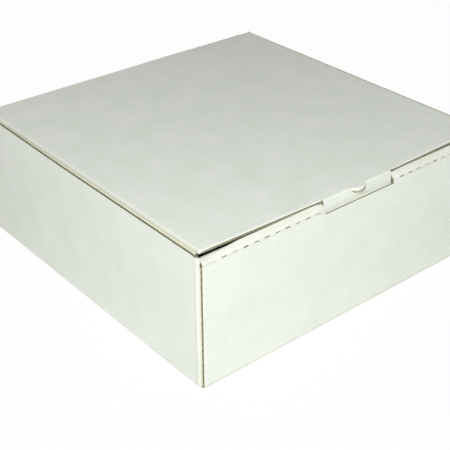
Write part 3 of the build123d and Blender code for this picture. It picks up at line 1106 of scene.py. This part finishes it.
class CAKEBOX_OT_lid(bpy.types.Operator):
    """Builds the lid's three plies and lets them ride on the lid"""
    bl_idname = "cake_box.lid"
    bl_label = "Build Lid"

    def execute(self, context):
        plan = Plan(context.scene)
        panels = [lid_panel(plan), tab_panel(plan), tongue_panel(plan)]
        panels += [lid_side_panel(plan, side) for side in (-1, 1)]
        plies = build_plies(plan, context.scene, "lid", panels, settle_lid)
        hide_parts("lid")
        for ply in plies:
            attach(ply, "lid")
        return {"FINISHED"}


class CAKEBOX_OT_hinge(bpy.types.Operator):
    """Builds the creased board between the back wall and the lid"""
    bl_idname = "cake_box.hinge"
    bl_label = "Build Hinge Crease"

    def execute(self, context):
        plan = Plan(context.scene)
        panel = crease_panel(plan)
        heights = plan.plies(panel)
        # The press has crushed the fluting in this crease, so it is one solid strip.
        strip = skin(panel, heights["outer_liner"][0], heights["inner_liner"][1])
        points, faces, side, blank = joined([strip])
        share = 1 - smooth(*hinge_zone(plan), blank[:, 1:2])
        points = points + share * (settle_tray(plan, points) - points)
        papers = board_materials(context.scene)
        outer, _, core = papers["outer_liner"]
        sides = (outer, papers["inner_liner"][1], core)
        made = make_piece("hinge_crease", points, faces, side, blank, sides)
        start, end = plan.spine.bend(plan.HINGE)
        places = [plan.spine.at(np.array(place), 0) for place in (start, end)]
        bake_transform(made)
        return {"FINISHED"}


class CAKEBOX_OT_studio(bpy.types.Operator):
    """Sets up the white sweep, the lamp, the fill light and the camera"""
    bl_idname = "cake_box.studio"
    bl_label = "Set Up Studio"

    def execute(self, context):
        scene, studio = context.scene, context.scene.cake_box_studio
        add_floor(studio)
        add_lamp(scene, "key_lamp", KEY_LAMP_PLACE, studio.lamp_size, studio.lamp_power)
        add_lamp(scene, "rear_lamp", REAR_LAMP_PLACE, studio.rear_size, studio.rear_power)
        add_world(scene, studio)
        add_camera(scene)
        scene.view_settings.view_transform = "Standard"
        return {"FINISHED"}


def seen_directly(tree):
    """1 for a ray from the camera or by way of a gloss or glass."""
    path = add_node(tree, "LightPath")
    most = path.outputs["Is Camera Ray"]
    for kind in ("Is Glossy Ray", "Is Transmission Ray"):
        pair = {0: most, 1: path.outputs[kind]}
        most = add_node(tree, "Math", {"operation": "MAXIMUM"}, pair).outputs[0]
    return most


def add_floor(studio):
    """Matt white studio paper. The camera sees it as white, with a trace of the box's shadow."""
    half = studio.floor_size / 2
    mesh = bpy.data.meshes.new("floor")
    corners = [(-half, -half), (half, -half), (half, half), (-half, half)]
    mesh.from_pydata([(x, y, -FLOOR_DROP) for x, y in corners], [], [(0, 1, 2, 3)])
    material, tree = new_material("matt_white_studio_paper")
    paper = add_node(
        tree, "BsdfPrincipled",
        {"Base Color": (*studio.floor, 1), "Roughness": 1.0, "Specular IOR Level": 0.0},
    )
    white = add_node(tree, "Emission", {"Color": WHITE, "Strength": 1.0})
    part = add_node(
        tree, "Math", {"operation": "MULTIPLY", 1: FLOOR_WHITE}, {0: seen_directly(tree)}
    )
    mixed = add_node(
        tree, "MixShader", None,
        {0: part.outputs[0], 1: paper.outputs["BSDF"], 2: white.outputs["Emission"]},
    )
    add_node(tree, "OutputMaterial", None, {"Surface": mixed.outputs["Shader"]})
    mesh.materials.append(material)
    floor = bpy.data.objects.new("floor", mesh)
    bpy.context.collection.objects.link(floor)


def add_lamp(scene, name, place, size, power):
    """A square lamp that looks at the middle of the box."""
    data = bpy.data.lights.new(name, "AREA")
    data.shape = "SQUARE"
    data.size = size
    data.energy = power
    lamp = bpy.data.objects.new(name, data)
    lamp.location = place
    target = Vector((0, 0, TRAY_BOX[1].z / 2))
    lamp.rotation_euler = (target - lamp.location).to_track_quat("-Z", "Y").to_euler()
    scene.collection.objects.link(lamp)


def add_world(scene, studio):
    world = bpy.data.worlds.new("white_surround")
    world.use_nodes = True
    tree = world.node_tree
    tree.nodes.clear()
    fill, white = [
        add_node(tree, "Background", {"Color": WHITE, "Strength": strength}).outputs[0]
        for strength in (studio.fill, 1.0)
    ]
    mixed = add_node(
        tree, "MixShader", None, {0: seen_directly(tree), 1: fill, 2: white}
    )
    add_node(tree, "OutputWorld", None, {"Surface": mixed.outputs["Shader"]})
    scene.world = world


def add_camera(scene):
    """Where the photograph was taken from, fitted to the box's own edges."""
    place = Vector((-0.51295, -0.61387, 0.49241))
    azimuth, elevation, roll = radians(-39.493), radians(31.122), radians(-0.33)
    data = bpy.data.cameras.new("camera")
    data.sensor_width = 36.0
    data.lens = 81.54
    camera = bpy.data.objects.new("camera", data)
    turn = Matrix.Rotation(azimuth, 4, "Z") @ Matrix.Rotation(pi / 2 - elevation, 4, "X")
    camera.matrix_world = Matrix.Translation(place) @ turn @ Matrix.Rotation(roll, 4, "Z")
    scene.collection.objects.link(camera)
    scene.camera = camera


class CAKEBOX_PT_panel(bpy.types.Panel):
    bl_idname = "CAKEBOX_PT_panel"
    bl_label = "Cake Box"
    bl_space_type = "VIEW_3D"
    bl_region_type = "UI"
    bl_category = "Cake Box"

    def draw(self, context):
        for group in GROUPS:
            settings = getattr(context.scene, group)
            box = self.layout.box()
            box.label(text=group.rsplit("_", 1)[-1].capitalize())
            for name in settings.__annotations__:
                box.prop(settings, name)
        for operator in OPERATORS:
            self.layout.operator(operator.bl_idname)


GROUPS = {
    "cake_box_board": BoardSizes,
    "cake_box_tray": TraySizes,
    "cake_box_lid": LidSizes,
    "cake_box_colours": BoardColours,
    "cake_box_studio": StudioSettings,
}
OPERATORS = (CAKEBOX_OT_tray, CAKEBOX_OT_lid, CAKEBOX_OT_hinge, CAKEBOX_OT_studio)


def register():
    for kind in (*GROUPS.values(), *OPERATORS, CAKEBOX_PT_panel):
        bpy.utils.register_class(kind)
    for name, kind in GROUPS.items():
        setattr(bpy.types.Scene, name, PointerProperty(type=kind))


def unregister():
    for name in GROUPS:
        delattr(bpy.types.Scene, name)
    for kind in reversed((*GROUPS.values(), *OPERATORS, CAKEBOX_PT_panel)):
        bpy.utils.unregister_class(kind)


def main():
    register()
    bpy.ops.cake_box.tray()
    bpy.ops.cake_box.lid()
    bpy.ops.cake_box.hinge()
    bpy.ops.cake_box.studio()


if __name__ == "__main__":
    main()
